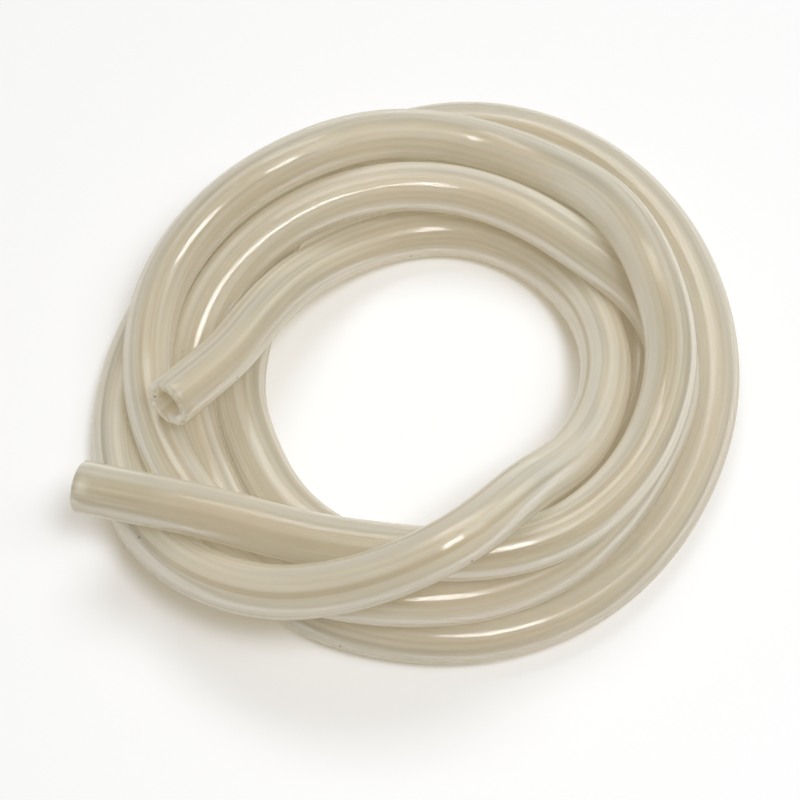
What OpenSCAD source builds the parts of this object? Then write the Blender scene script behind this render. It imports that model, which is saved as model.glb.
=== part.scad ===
// Coil of silicone tubing: one plain hollow tube, wound by hand in about five turns and laid flat.
// The turns lie beside and on each other, and both cut ends rest across the top of the winding.

/* [Tube] */
// Width of the bore
bore_d = 6; // [3:0.5:8]
// Thickness of the rubber wall
wall = 2; // [1:0.25:3]

/* [Coil] */
// Clear width of the hole through the middle of the coil
hole_d = 58; // [50:1:90]
// Air between turns that lie against each other
turn_gap = 0.2; // [0.1:0.05:1]
// Straight stretch at each cut end, where a fitting is pushed in
end_len = 10; // [6:1:11]

/* [Fineness] */
// Flat sides round the bent tube
tube_sides = 12; // [8:1:12]
// Rings of the bent tube from one station of its route to the next
station_rings = 2; // [1:1:2]

/* [Hidden] */

tube_od = bore_d + 2 * wall;
// From the middle of one turn to the middle of the turn beside it
pitch = tube_od + turn_gap;
// Radius of the innermost turn's centre line
first_r = hole_d / 2 + tube_od / 2;

// The route, chosen by hand: one list for each turn and one station every station_angle degrees,
// clockwise as seen from above, from the left of the coil. A station holds how many pitches the
// tube lies out from the innermost turn, and how many pitches it lies above the floor.
station_angle = 20;
// Down from the inner cut end, round the hole, and up over the whole winding at the front
turn_1 = [
    [0.5, 1.6], [0.1, 1.2], [0.05, 0.75], [0.15, 0.3], [0.35, 0.05], [0.5, 0],
    [0.5, 0], [0.45, 0.05], [0.25, 0.45], [0.1, 0.85], [0, 1.1], [0, 1.6],
    [0.15, 2.4], [0.85, 2.85], [1.55, 2.5], [2.3, 1.85], [2.75, 1.15], [2.8, 0.4]
];
// Outermost at the left, over the next turn at the back, then in under the first turn
turn_2 = [
    [2.65, 0], [2.4, 0.05], [2.2, 0.6], [1.85, 1.0], [1.6, 0.5], [1.55, 0.05],
    [1.55, 0], [1.5, 0], [1.2, 0], [0.75, 0], [0.35, 0], [0.15, 0],
    [0.1, 0], [0.15, 0], [0.25, 0], [0.25, 0], [0.25, 0], [0.2, 0]
];
// On the floor all the way: from the hole at the left out to the rim at the back and right
turn_3 = [
    [0.35, 0], [0.45, 0], [0.9, 0], [1.95, 0], [2.65, 0], [3.1, 0],
    [3.15, 0], [2.9, 0], [2.55, 0], [2.25, 0], [2.0, 0], [1.9, 0],
    [1.85, 0], [1.75, 0], [1.65, 0], [1.65, 0], [1.3, 0], [1.2, 0]
];
// Up over the crossing at the back left, then half sunk between the turns below it
turn_4 = [
    [1.35, 0.1], [1.3, 0.6], [1.05, 1.05], [0.85, 1.25], [0.8, 1.2], [0.8, 1.05],
    [0.75, 1.0], [0.8, 1.0], [1.25, 1.0], [1.45, 0.8], [1.2, 0.6], [1.15, 0.7],
    [1.25, 0.8], [1.3, 0.9], [1.4, 1.0], [1.65, 1.0], [1.7, 0.95], [1.85, 0.8]
];
// On top all the way round, under the first turn at the front, and out to the outer cut end
turn_5 = [
    [2.05, 0.85], [2.15, 1.15], [1.9, 1.65], [1.6, 2.0], [1.8, 1.6], [2.05, 0.95],
    [1.85, 1.1], [1.5, 1.8], [1.25, 2.05], [1.25, 1.8], [1.15, 1.6], [1.1, 1.7],
    [1.05, 1.8], [0.85, 1.8], [0.75, 1.8], [1.1, 1.9], [1.9, 2.0]
];
turns = [turn_1, turn_2, turn_3, turn_4, turn_5];
// The middles of the two cut faces, as angle in degrees, pitches out and pitches up
inner_cut = [-14, 1.65, 2.05];
outer_cut = [1777, 3.6, 1.7];

// Length over which the bent tube reaches into each straight end, inside its wall
lap = 1;
// How far the bent tube's facets stay inside the straight ends' round faces
seam = 0.06;
round_fn = 96;

function unit(v) = v / norm(v);

// A place on the route from its angle, pitches out and pitches up
function place(s) =
    let (r = first_r + s[1] * pitch)
    [-r * cos(s[0]), r * sin(s[0]), tube_od / 2 + s[2] * pitch];

stations = [
    for (t = [0:len(turns) - 1], k = [0:len(turns[t]) - 1])
        place([360 * t + station_angle * k, turns[t][k][0], turns[t][k][1]])
];
inner_face = place(inner_cut);
outer_face = place(outer_cut);
inner_dir = unit(stations[0] - inner_face);
outer_dir = unit(outer_face - stations[len(stations) - 1]);
bend_len = end_len - lap;
knots = [inner_face + bend_len * inner_dir, each stations, outer_face - bend_len * outer_dir];
last = len(knots) - 1;

// Direction of the route at a knot, from the two chords that meet there
function chord(i) = knots[i + 1] - knots[i];
function knot_dir(i) =
    i == 0 ? inner_dir
    : i == last ? outer_dir
    : let (a = norm(chord(i - 1)), b = norm(chord(i)))
      (chord(i - 1) * b / a + chord(i) * a / b) / (a + b);

// A point of the smooth curve from knot i to the next, at part t of the way. The floor holds it up
function curve(i, t) =
    let (
        run = norm(chord(i)),
        p = knots[i] * (1 + 2 * t) * pow(1 - t, 2) + knots[i + 1] * (3 - 2 * t) * pow(t, 2)
            + knot_dir(i) * run * t * pow(1 - t, 2) - knot_dir(i + 1) * run * (1 - t) * pow(t, 2)
    )
    [p[0], p[1], max(p[2], tube_od / 2)];

middle = [for (i = [0:last - 1], k = [0:station_rings - 1]) curve(i, k / station_rings), knots[last]];
ring_count = len(middle);

function ring_dir(i) =
    i == 0 ? inner_dir
    : i == ring_count - 1 ? outer_dir
    : unit(middle[i + 1] - middle[i - 1]);

// The corners of one ring of the given radius, square to the route
function ring(i, r) =
    let (along = ring_dir(i), side = unit(cross(along, [0, 0, 1])), up = cross(side, along))
    [for (k = [0:tube_sides - 1])
        middle[i] + r * (cos(360 * k / tube_sides) * side + sin(360 * k / tube_sides) * up)];

outer_r = tube_od / 2 - seam;
inner_r = (bore_d / 2 + seam) / cos(180 / tube_sides);
skin = [for (i = [0:ring_count - 1]) each ring(i, outer_r)];
lining = [for (i = [0:ring_count - 1]) each ring(i, inner_r)];

// The origin is below the middle of the coil's box, on the floor it lies on
low = [for (axis = [0:2]) min([for (p = [each skin, inner_face, outer_face]) p[axis]])];
high = [for (axis = [0:2]) max([for (p = [each skin, inner_face, outer_face]) p[axis]])];
origin = [(low[0] + high[0]) / 2, (low[1] + high[1]) / 2, low[2]];

// Two triangles over the corners a, b, c and d, named counter-clockwise as seen from outside
function patch(a, b, c, d) = [[c, b, a], [d, c, a]];
function skin_at(i, k) = i * tube_sides + k % tube_sides;
function lining_at(i, k) = len(skin) + skin_at(i, k);

// The bent tube between the two straight ends
module bent_tube() {
    end_ring = ring_count - 1;
    polyhedron(
        points = concat(skin, lining),
        faces = [
            for (i = [0:end_ring - 1], k = [0:tube_sides - 1])
                each patch(skin_at(i, k), skin_at(i + 1, k), skin_at(i + 1, k + 1), skin_at(i, k + 1)),
            for (i = [0:end_ring - 1], k = [0:tube_sides - 1])
                each patch(
                    lining_at(i, k), lining_at(i, k + 1), lining_at(i + 1, k + 1), lining_at(i + 1, k)),
            for (k = [0:tube_sides - 1])
                each patch(skin_at(0, k), skin_at(0, k + 1), lining_at(0, k + 1), lining_at(0, k)),
            for (k = [0:tube_sides - 1])
                each patch(
                    skin_at(end_ring, k), lining_at(end_ring, k),
                    lining_at(end_ring, k + 1), skin_at(end_ring, k + 1))
        ]
    );
}

// A straight end with a true round bore, from its cut face along the given direction
module straight_end(face, dir) {
    translate(face)
        rotate([0, acos(dir[2]), atan2(dir[1], dir[0])])
            difference() {
                cylinder(h = end_len, d = tube_od, $fn = round_fn);
                translate([0, 0, -lap])
                    cylinder(h = end_len + 2 * lap, d = bore_d, $fn = round_fn);
            }
}

module silicone_tube() {
    color([0.86, 0.82, 0.72])
        translate(-origin)
            union() {
                bent_tube();
                straight_end(inner_face, inner_dir);
                straight_end(outer_face, -outer_dir);
            }
}

silicone_tube();
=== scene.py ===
from math import cos, pi, radians, sin

import bpy
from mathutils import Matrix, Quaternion, Vector
from mathutils.kdtree import KDTree


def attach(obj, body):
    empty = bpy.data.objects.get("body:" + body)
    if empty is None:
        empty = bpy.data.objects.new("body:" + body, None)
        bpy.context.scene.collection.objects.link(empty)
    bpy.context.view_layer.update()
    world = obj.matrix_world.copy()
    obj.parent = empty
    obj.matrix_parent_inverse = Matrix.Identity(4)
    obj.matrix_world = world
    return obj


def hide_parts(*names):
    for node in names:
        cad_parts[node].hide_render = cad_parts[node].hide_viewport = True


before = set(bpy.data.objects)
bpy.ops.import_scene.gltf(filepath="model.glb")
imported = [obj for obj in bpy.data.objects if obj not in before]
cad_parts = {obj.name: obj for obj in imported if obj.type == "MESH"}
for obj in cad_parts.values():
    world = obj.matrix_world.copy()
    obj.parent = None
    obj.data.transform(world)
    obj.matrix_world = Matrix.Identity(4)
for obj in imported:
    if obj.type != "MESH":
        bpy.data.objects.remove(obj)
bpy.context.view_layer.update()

# The view: a hand-held close shot, looking down on the coil from the front at about two thirds
# of a right angle, from nearly half a metre. The lens leaves a margin round the coil.
MM = 0.001
VIEW_ELEVATION = radians(63)
VIEW_DISTANCE = 450 * MM
VIEW_TARGET = Vector((-3.75, -10, 10)) * MM
PIXELS_PER_MM = 5.1
PICTURE_WIDTH = 800
SENSOR_WIDTH = 36

camera_data = bpy.data.cameras.new("view")
camera_data.sensor_width = SENSOR_WIDTH
camera_data.lens = SENSOR_WIDTH * PIXELS_PER_MM * (VIEW_DISTANCE / MM) / PICTURE_WIDTH
camera = bpy.data.objects.new("view", camera_data)
back_and_up = Vector((0, -cos(VIEW_ELEVATION), sin(VIEW_ELEVATION)))
camera.location = VIEW_TARGET + VIEW_DISTANCE * back_and_up
camera.rotation_euler = (pi / 2 - VIEW_ELEVATION, 0, 0)
bpy.context.scene.collection.objects.link(camera)
bpy.context.scene.camera = camera

# The tube: one length of extruded silicone rubber, milky and a little yellow, wound by hand in
# about five turns. It lies loose, held by nothing but the turns that cross over each other.
BORE_D = 6 * MM
WALL = 2 * MM
HOLE_D = 58 * MM
TURN_GAP = 0.2 * MM
END_LEN = 10 * MM
TUBE_OD = BORE_D + 2 * WALL
PITCH = TUBE_OD + TURN_GAP
FIRST_R = HOLE_D / 2 + TUBE_OD / 2
STATION_ANGLE = 20
# Pitches out from the innermost turn and up from the floor, every 20 degrees, clockwise from left
TURNS = [
    [(0.5, 1.6), (0.1, 1.2), (0.05, 0.75), (0.15, 0.3), (0.35, 0.05), (0.5, 0),
     (0.5, 0), (0.45, 0.05), (0.25, 0.45), (0.1, 0.85), (0, 1.1), (0, 1.6),
     (0.15, 2.4), (0.85, 2.85), (1.55, 2.5), (2.3, 1.85), (2.75, 1.15), (2.8, 0.4)],
    [(2.65, 0), (2.4, 0.05), (2.2, 0.6), (1.85, 1.0), (1.6, 0.5), (1.55, 0.05),
     (1.55, 0), (1.5, 0), (1.2, 0), (0.75, 0), (0.35, 0), (0.15, 0),
     (0.1, 0), (0.15, 0), (0.25, 0), (0.25, 0), (0.25, 0), (0.2, 0)],
    [(0.35, 0), (0.45, 0), (0.9, 0), (1.95, 0), (2.65, 0), (3.1, 0),
     (3.15, 0), (2.9, 0), (2.55, 0), (2.25, 0), (2.0, 0), (1.9, 0),
     (1.85, 0), (1.75, 0), (1.65, 0), (1.65, 0), (1.3, 0), (1.2, 0)],
    [(1.35, 0.1), (1.3, 0.6), (1.05, 1.05), (0.85, 1.25), (0.8, 1.2), (0.8, 1.05),
     (0.75, 1.0), (0.8, 1.0), (1.25, 1.0), (1.45, 0.8), (1.2, 0.6), (1.15, 0.7),
     (1.25, 0.8), (1.3, 0.9), (1.4, 1.0), (1.65, 1.0), (1.7, 0.95), (1.85, 0.8)],
    [(2.05, 0.85), (2.15, 1.15), (1.9, 1.65), (1.6, 2.0), (1.8, 1.6), (2.05, 0.95),
     (1.85, 1.1), (1.5, 1.8), (1.25, 2.05), (1.25, 1.8), (1.15, 1.6), (1.1, 1.7),
     (1.05, 1.8), (0.85, 1.8), (0.75, 1.8), (1.1, 1.9), (1.9, 2.0)],
]
# The middles of the two cut faces, as angle in degrees, pitches out and pitches up
INNER_CUT = (-14, 1.65, 2.05)
OUTER_CUT = (1777, 3.6, 1.7)
# From the middle of the winding to the point below the middle of the coil's box
COIL_MIDDLE = Vector((-1.75, 6.68, 0.06)) * MM


def place(angle, out, up):
    """A place on the route from its angle, pitches out and pitches up."""
    radius = FIRST_R + out * PITCH
    a = radians(angle)
    return Vector((-radius * cos(a), radius * sin(a), TUBE_OD / 2 + up * PITCH)) - COIL_MIDDLE


def route():
    """The inner cut face, the knots between the two straight ends, and the outer cut face."""
    stations = [place(360 * t + STATION_ANGLE * k, *station)
                for t, turn in enumerate(TURNS) for k, station in enumerate(turn)]
    inner_face, outer_face = place(*INNER_CUT), place(*OUTER_CUT)
    inner_dir = (stations[0] - inner_face).normalized()
    outer_dir = (outer_face - stations[-1]).normalized()
    knots = [inner_face + END_LEN * inner_dir, *stations, outer_face - END_LEN * outer_dir]
    return inner_face, knots, outer_face


def smooth_curve(knots, start_dir, end_dir, steps):
    """Points of a smooth curve through the knots, the same number from each knot to the next."""
    chords = [b - a for a, b in zip(knots, knots[1:])]
    runs = [c.length for c in chords]
    dirs = [start_dir]
    for a, b, u, v in zip(runs, runs[1:], chords, chords[1:]):
        dirs.append((u * b / a + v * a / b) / (a + b))
    dirs.append(end_dir)
    points = []
    for i, run in enumerate(runs):
        for k in range(steps):
            t = k / steps
            s = 1 - t
            p = knots[i] * (1 + 2 * t) * s * s + knots[i + 1] * (3 - 2 * t) * t * t
            p += (dirs[i] * s - dirs[i + 1] * t) * run * t * s
            points.append(p)
    points.append(knots[-1])
    return points


def even_steps(points, step):
    """The same line with its points one step apart."""
    gaps = [(b - a).length for a, b in zip(points, points[1:])]
    count = round(sum(gaps) / step)
    spacing = sum(gaps) / count
    line, i, passed = [points[0].copy()], 0, 0.0
    for n in range(1, count):
        while passed + gaps[i] < n * spacing:
            passed += gaps[i]
            i += 1
        line.append(points[i].lerp(points[i + 1], (n * spacing - passed) / gaps[i]))
    line.append(points[-1].copy())
    return line


# The closest that the middles of two turns can lie, and of the tube and the table
CLOSEST = TUBE_OD
LOWEST = TUBE_OD / 2
# Points of the line this near in order are the same stretch of tube and don't push each other
SAME_STRETCH = 12
PUSH_SHARE = 0.25


def push_apart(line):
    """Move the line's points aside where two turns lie closer together than they can."""
    tree = KDTree(len(line))
    for i, p in enumerate(line):
        tree.insert(p, i)
    tree.balance()
    moves = [Vector() for _ in line]
    for i, p in enumerate(line):
        for q, j, gap in tree.find_range(p, CLOSEST):
            if abs(i - j) > SAME_STRETCH:
                moves[i] += (p - q) * (PUSH_SHARE * (CLOSEST - gap) / gap)
    for p, move in zip(line, moves):
        p += move
        p.z = max(p.z, LOWEST)


# Rubber spreads its bends evenly, so the line is eased a little between its stations
CURVE_STEPS = 12
RING_STEP = 2 * MM
EASING_PASSES = 12
PUSHES = 20
inner_face, knots, outer_face = route()
inner_dir = (knots[0] - inner_face).normalized()
outer_dir = (outer_face - knots[-1]).normalized()
bend = smooth_curve(knots, inner_dir, outer_dir, CURVE_STEPS)
middle = even_steps([inner_face, *bend, outer_face], RING_STEP)
for _ in range(EASING_PASSES):
    middle[1:-1] = [(a + 2 * b + c) / 4 for a, b, c in zip(middle, middle[1:], middle[2:])]
    push_apart(middle)
for _ in range(PUSHES):
    push_apart(middle)
tube_length = sum((b - a).length for a, b in zip(middle, middle[1:]))

# The tube's section: its outside, its bore, and the small round left by the knife at each cut
SIDES = 48
CUT_ROUND = 0.3 * MM
OUTER_R, BORE_R = TUBE_OD / 2, BORE_D / 2


def ring(i, radius, shift):
    """The corners of one ring, square to the tube and moved along it by a shift."""
    along = (middle[min(i + 1, len(middle) - 1)] - middle[max(i - 1, 0)]).normalized()
    side = along.cross(Vector((0, 0, 1))).normalized()
    up = side.cross(along)
    centre = middle[i] + shift * along
    return [centre + radius * (cos(a) * side + sin(a) * up)
            for a in (2 * pi * k / SIDES for k in range(SIDES))]


def build_tube():
    """The hollow tube as one closed skin: out along the outside and back along the bore."""
    last = len(middle) - 1
    outside = [(0, OUTER_R - CUT_ROUND, 0), (0, OUTER_R, CUT_ROUND)]
    outside += [(i, OUTER_R, 0) for i in range(1, last)]
    outside += [(last, OUTER_R, -CUT_ROUND), (last, OUTER_R - CUT_ROUND, 0)]
    rings = outside + [(i, BORE_R, 0) for i in range(last, -1, -1)]
    points = [p for r in rings for p in ring(*r)]
    faces = []
    for n in range(len(rings)):
        here, there = n * SIDES, (n + 1) % len(rings) * SIDES
        for k in range(SIDES):
            after = (k + 1) % SIDES
            faces.append((here + k, here + after, there + after, there + k))
    mesh = bpy.data.meshes.new("tube")
    mesh.from_pydata(points, [], faces)
    mesh.shade_smooth()
    # The place in the section in outer radii, and the way along the tube in metres
    where = mesh.attributes.new("tube_place", "FLOAT_VECTOR", "POINT")
    for n, (i, radius, shift) in enumerate(rings):
        r = radius / OUTER_R
        for k in range(SIDES):
            a = 2 * pi * k / SIDES
            where.data[n * SIDES + k].vector = (r * cos(a), r * sin(a), i * RING_STEP + shift)
    return mesh


tube = bpy.data.objects.new("tube", build_tube())
bpy.context.scene.collection.objects.link(tube)
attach(tube, "root")
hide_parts("silicone_tube")


class Wire:
    """A value inside a material. Sums and products of wires add their own Math nodes."""

    def __init__(self, paint, socket):
        self.paint = paint
        self.socket = socket

    def math(self, operation, a, b):
        return self.paint.node("ShaderNodeMath", {"operation": operation}, {0: a, 1: b})

    def __add__(self, other):
        return self.math("ADD", self, other)

    def __mul__(self, other):
        return self.math("MULTIPLY", self, other)

    def __pow__(self, other):
        return self.math("POWER", self, other)

    def __rsub__(self, other):
        return self.math("SUBTRACT", other, self)

    __radd__ = __add__
    __rmul__ = __mul__


class Paint:
    """A new material, built up one node at a time."""

    def __init__(self, name):
        self.material = bpy.data.materials.new(name)
        self.material.use_nodes = True
        self.tree = self.material.node_tree
        self.tree.nodes.clear()

    def node(self, kind, settings=None, sockets=None, output=0):
        """One node with its settings and its sockets' values or wires, as a wire of its output."""
        made = self.tree.nodes.new(kind)
        for name, value in (settings or {}).items():
            setattr(made, name, value)
        for name, value in (sockets or {}).items():
            if isinstance(value, Wire):
                self.tree.links.new(value.socket, made.inputs[name])
            else:
                made.inputs[name].default_value = value
        return Wire(self, made.outputs[output]) if made.outputs else None

    def blend(self, factor, a, b):
        """Colour a where the factor is 0 and colour b where it is 1."""
        sockets = {"Factor": factor, 6: a, 7: b}
        return self.node("ShaderNodeMix", {"data_type": "RGBA"}, sockets, output=2)

    def fade(self, value, start, end, at_start=0.0, at_end=1.0):
        """An amount that goes from one level to another as the value goes from start to end."""
        return self.node("ShaderNodeMapRange", None, {
            "Value": value, "From Min": start, "From Max": end,
            "To Min": at_start, "To Max": at_end,
        })

    def drawn_lines(self, where, across, along, detail):
        """Noise drawn out along the tube: how often it changes in an outer radius and a metre."""
        stretched = self.node("ShaderNodeVectorMath", {"operation": "MULTIPLY"},
                              {0: where, 1: (across, across, along)})
        return self.node("ShaderNodeTexNoise", None,
                         {"Vector": stretched, "Scale": 1.0, "Detail": detail})


# Milky silicone with paler and darker lines drawn along it, warmer clouds and a little dust. The
# paler lines are painted light and the darker ones painted shade, of the bore's edges showing
# through the wall. The glow stands for the light that the rubber passes on into the gaps between
# its turns.
PAINTED_SHADE_RUBBER = (0.44, 0.40, 0.31, 1)
PAINTED_LIGHT_RUBBER = (0.67, 0.635, 0.55, 1)
WARM_RUBBER = (0.64, 0.545, 0.435, 1)
CLEAR_RUBBER = (0.95, 0.90, 0.80, 1)
DUST = (0.16, 0.13, 0.09, 1)
RUBBER_GLOW = (0.61, 0.56, 0.425, 1)
GLOW_STRENGTH = 0.2
RUBBER_IOR = 1.41
# How deep light of each colour goes into the rubber
LIGHT_DEPTH = 8 * MM
LIGHT_DEPTH_BY_COLOUR = (1.0, 0.92, 0.75)
# The most of the light that goes straight through, where the wall is square to it
CLEAR_SHARE = 0.55
LINE_HEIGHT = 0.5 * MM
LINE_BUMP = 0.05
CLOUDS_PER_METRE = 45.0
CLOUD_WARMTH = 0.3
# Specks of dust, at most one to a cell, and their size and soft edge as shares of a cell
SPECK_CELLS_PER_METRE = 90.0
SPECK_SIZE, SPECK_EDGE = 0.022, 0.036
SPECK_STRENGTH = 0.9


def silicone():
    """Milky rubber that a little of the light goes straight through, with lines drawn along it."""
    paint = Paint("milky_silicone")
    where = paint.node("ShaderNodeAttribute", {"attribute_name": "tube_place"}, output="Vector")
    wide = paint.drawn_lines(where, across=1.9, along=5, detail=1.0)
    fine = paint.drawn_lines(where, across=4.2, along=7, detail=2.0)
    lines = paint.fade(0.5 * wide + 0.5 * fine, 0.4, 0.6)
    solid = paint.node("ShaderNodeTexCoord", output="Object")
    cloud = paint.node("ShaderNodeTexNoise", None,
                       {"Vector": solid, "Scale": CLOUDS_PER_METRE, "Detail": 2.0})
    from_speck = paint.node("ShaderNodeTexVoronoi", None,
                            {"Vector": solid, "Scale": SPECK_CELLS_PER_METRE}, "Distance")
    # Paler lines are painted light, darker lines painted shade, of the bore's edges seen through
    # the wall
    rubber = paint.blend(lines, PAINTED_SHADE_RUBBER, PAINTED_LIGHT_RUBBER)
    rubber = paint.blend(paint.fade(cloud, 0.4, 0.65, at_end=CLOUD_WARMTH), rubber, WARM_RUBBER)
    dusty = paint.fade(from_speck, SPECK_SIZE, SPECK_EDGE, at_start=SPECK_STRENGTH, at_end=0.0)
    bump = paint.node("ShaderNodeBump", None,
                      {"Height": lines, "Strength": LINE_BUMP, "Distance": LINE_HEIGHT}, "Normal")
    milky = paint.node("ShaderNodeBsdfPrincipled", {"subsurface_method": "RANDOM_WALK"}, {
        "Base Color": paint.blend(dusty, rubber, DUST), "Roughness": 0.17 + 0.08 * cloud,
        "IOR": RUBBER_IOR, "Specular IOR Level": 0.25, "Subsurface Weight": 1.0,
        "Subsurface Scale": LIGHT_DEPTH, "Subsurface Radius": LIGHT_DEPTH_BY_COLOUR,
        "Emission Color": RUBBER_GLOW, "Emission Strength": GLOW_STRENGTH, "Normal": bump,
    })
    clear = paint.node("ShaderNodeBsdfPrincipled", None, {
        "Base Color": CLEAR_RUBBER, "Roughness": 0.06, "IOR": RUBBER_IOR,
        "Transmission Weight": 1.0, "Normal": bump,
    })
    facing = paint.node("ShaderNodeLayerWeight", None, {"Blend": 0.5}, "Facing")
    clear_share = CLEAR_SHARE * (1 - facing) ** 2
    both = paint.node("ShaderNodeMixShader", None, {0: clear_share, 1: milky, 2: clear})
    paint.node("ShaderNodeOutputMaterial", None, {"Surface": both})
    return paint.material


tube.data.materials.append(silicone())

# The table: a plain matt sheet under the coil, wide enough to fill the view. It shows near white,
# with a warm shadow under the coil, and throws cream light up into the rubber.
SHEET_SIZE = 3.0
SHEET_WHITE = (0.73, 0.78, 0.86, 1)
SHEET_GLOW = (0.26, 0.21, 0.13, 1)
SHEET_CREAM = (0.60, 0.54, 0.44, 1)
bpy.ops.mesh.primitive_plane_add(size=SHEET_SIZE, location=(0, 0, 0))
table = bpy.context.object
table.name = "table"
sheet_paint = Paint("white_sheet")
white = sheet_paint.node("ShaderNodeBsdfDiffuse", None, {"Color": SHEET_WHITE})
glow = sheet_paint.node("ShaderNodeEmission", None, {"Color": SHEET_GLOW, "Strength": 1.0})
bright = sheet_paint.node("ShaderNodeAddShader", None, {0: white, 1: glow})
cream = sheet_paint.node("ShaderNodeBsdfDiffuse", None, {"Color": SHEET_CREAM})
eye, mirror, glass = (sheet_paint.node("ShaderNodeLightPath", output=name)
                      for name in ("Is Camera Ray", "Is Glossy Ray", "Is Transmission Ray"))
seen = eye + mirror + glass
sheet = sheet_paint.node("ShaderNodeMixShader", None, {0: seen, 1: cream, 2: bright})
sheet_paint.node("ShaderNodeOutputMaterial", None, {"Surface": sheet})
table.data.materials.append(sheet_paint.material)


# The light: a soft lamp up and to the right of the camera, a broad one from the wall at the right
# and another from a window behind the coil, in an even white room.
def soft_lamp(name, place_mm, long_mm, wide_mm, turned, watts):
    """A rectangular lamp that looks at the middle of the coil, turned about its own middle."""
    data = bpy.data.lights.new(name, "AREA")
    data.shape = "RECTANGLE"
    data.size, data.size_y = long_mm * MM, wide_mm * MM
    data.energy = watts
    lamp = bpy.data.objects.new(name, data)
    lamp.location = Vector(place_mm) * MM
    aim = (VIEW_TARGET - lamp.location).to_track_quat("-Z", "Y")
    lamp.rotation_euler = (aim @ Quaternion((0, 0, 1), radians(turned))).to_euler()
    bpy.context.scene.collection.objects.link(lamp)


soft_lamp("flash", (158, -262, 856), long_mm=230, wide_mm=230, turned=0, watts=3.2)
soft_lamp("wall", (330, -190, 820), long_mm=520, wide_mm=230, turned=-40, watts=1.4)
soft_lamp("window", (-40, 430, 900), long_mm=560, wide_mm=340, turned=0, watts=3.1)
ROOM_COLOUR = (1, 1, 1, 1)
ROOM_STRENGTH = 0.2
room = bpy.data.worlds.new("room")
bpy.context.scene.world = room
room.use_nodes = True
room_light = room.node_tree.nodes["Background"].inputs
room_light["Color"].default_value = ROOM_COLOUR
room_light["Strength"].default_value = ROOM_STRENGTH

bpy.context.scene.view_settings.view_transform = "Standard"
# Light goes in and out of many walls of rubber before it reaches the gaps between the turns
cycles = bpy.context.scene.cycles
cycles.max_bounces = 12
cycles.diffuse_bounces = 8
cycles.glossy_bounces = 6
cycles.transmission_bounces = 12
